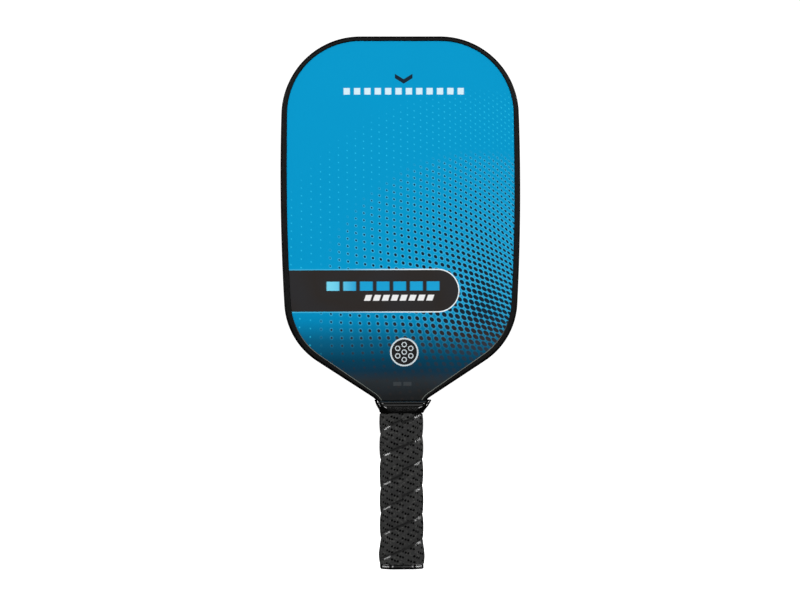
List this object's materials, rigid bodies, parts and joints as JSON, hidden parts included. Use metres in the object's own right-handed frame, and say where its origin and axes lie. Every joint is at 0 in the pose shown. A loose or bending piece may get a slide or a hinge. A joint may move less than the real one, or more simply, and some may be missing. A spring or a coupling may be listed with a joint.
{
  "type": "pickleball paddle",
  "caption": "Elongated pickleball paddle: honeycomb sandwich blade with a channel edge guard, and a wrapped octagonal handle with a flared collar and butt cap.",
  "frame": {"origin": "centre of the butt's flat end", "axes": "+Z from the butt to the tip along the handle, X across the blade, front face towards -Y"},
  "size_m": [0.1888, 0.0334, 0.4191],
  "materials": {
    "core_polymer": "translucent white honeycomb",
    "scrim": "thin non-woven",
    "film_adhesive": "cured amber film",
    "face_laminate": "woven fibre laminate",
    "print_front": "blue halftone print fading to black at the throat",
    "print_back": "blue halftone print fading to black at the throat",
    "guard_plastic": "satin black extrusion",
    "guard_glue": "flexible adhesive",
    "pallet_foam": "rigid foam",
    "bond_glue": "cured adhesive",
    "cap_plastic": "moulded black",
    "staple_steel": "drawn wire",
    "badge_plastic": "blank domed badge",
    "grip_tape_adhesive": "double-sided tape",
    "grip_felt": "felted cushion",
    "grip_skin": "perforated synthetic leather",
    "tape": "thin tape",
    "collar_rubber": "glossy moulded rubber"
  },
  "bodies": {
    "root": {"honeycomb_core": "core_polymer", "core_scrim_front": "scrim", "core_scrim_back": "scrim", "adhesive_film_front": "film_adhesive", "adhesive_film_back": "film_adhesive", "face_sheet_front": "face_laminate", "face_sheet_back": "face_laminate", "graphic_film_front": "print_front", "graphic_film_back": "print_back", "edge_guard": "guard_plastic", "edge_guard_bond": "guard_glue", "handle_pallet_front": "pallet_foam", "handle_pallet_back": "pallet_foam", "pallet_bond_front": "bond_glue", "pallet_bond_back": "bond_glue", "butt_cap": "cap_plastic", "butt_cap_staples": "staple_steel", "butt_badge": "badge_plastic", "grip_adhesive": "grip_tape_adhesive", "grip_backing": "grip_felt", "grip_wrap": "grip_skin", "finishing_tape": "tape", "grip_collar": "collar_rubber"}
  },
  "joints": []
}
